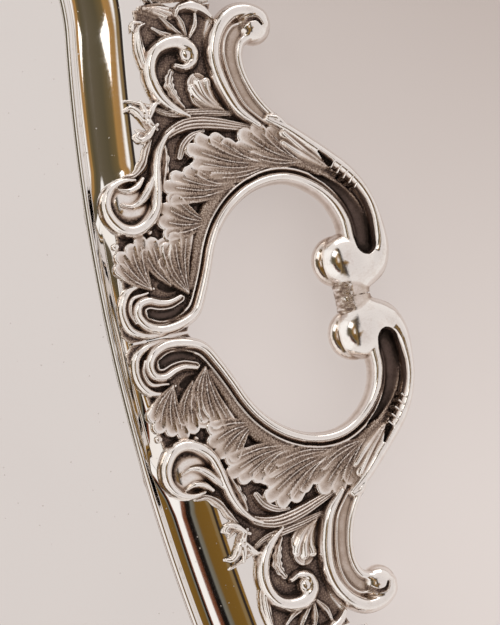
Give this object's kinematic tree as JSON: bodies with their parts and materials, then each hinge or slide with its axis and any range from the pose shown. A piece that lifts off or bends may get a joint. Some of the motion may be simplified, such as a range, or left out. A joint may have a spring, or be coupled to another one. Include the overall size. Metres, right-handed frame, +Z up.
{
  "type": "two-handled serving tray",
  "caption": "Large two-handled serving tray: flat polished field, coved rim, cast rococo scroll border and pierced scroll handles ending in balls.",
  "frame": {"origin": "centre of the flat underside of the tray, on the surface that the tray stands on", "axes": "+X along the long axis through the two handles, +Y across the tray, +Z up out of the tray"},
  "size_m": [0.733, 0.492, 0.0189],
  "materials": {
    "polished_silver": "mirror polished silver plate with fine wear",
    "cast_silver": "polished high points, oxidised brown-black recesses and matted ground",
    "handle_silver": "polished cast silver, oxidised in the channels",
    "silver_solder": "rough pitted solder"
  },
  "bodies": {
    "root": {"corner_scroll_left_front": "cast_silver", "corner_scroll_left_rear": "cast_silver", "corner_scroll_right_front": "cast_silver", "corner_scroll_right_rear": "cast_silver", "corner_shell_left_front": "cast_silver", "corner_shell_left_rear": "cast_silver", "corner_shell_right_front": "cast_silver", "corner_shell_right_rear": "cast_silver", "end_scroll_left_front": "cast_silver", "end_scroll_left_rear": "cast_silver", "end_scroll_right_front": "cast_silver", "end_scroll_right_rear": "cast_silver", "handle_back_left_a": "handle_silver", "handle_back_left_b": "handle_silver", "handle_back_right_a": "handle_silver", "handle_back_right_b": "handle_silver", "handle_front_left_a": "handle_silver", "handle_front_left_b": "handle_silver", "handle_front_right_a": "handle_silver", "handle_front_right_b": "handle_silver", "handle_joint_left": "silver_solder", "handle_joint_right": "silver_solder", "rim_corner_left_front": "polished_silver", "rim_corner_left_rear": "polished_silver", "rim_corner_right_front": "polished_silver", "rim_corner_right_rear": "polished_silver", "rim_end_left": "polished_silver", "rim_end_right": "polished_silver", "rim_side_front": "polished_silver", "rim_side_rear": "polished_silver", "side_scroll_inner_left_front": "cast_silver", "side_scroll_inner_left_rear": "cast_silver", "side_scroll_inner_right_front": "cast_silver", "side_scroll_inner_right_rear": "cast_silver", "side_scroll_outer_left_front": "cast_silver", "side_scroll_outer_left_rear": "cast_silver", "side_scroll_outer_right_front": "cast_silver", "side_scroll_outer_right_rear": "cast_silver", "side_shell_front": "cast_silver", "side_shell_rear": "cast_silver", "tray_field": "polished_silver"}
  },
  "joints": []
}
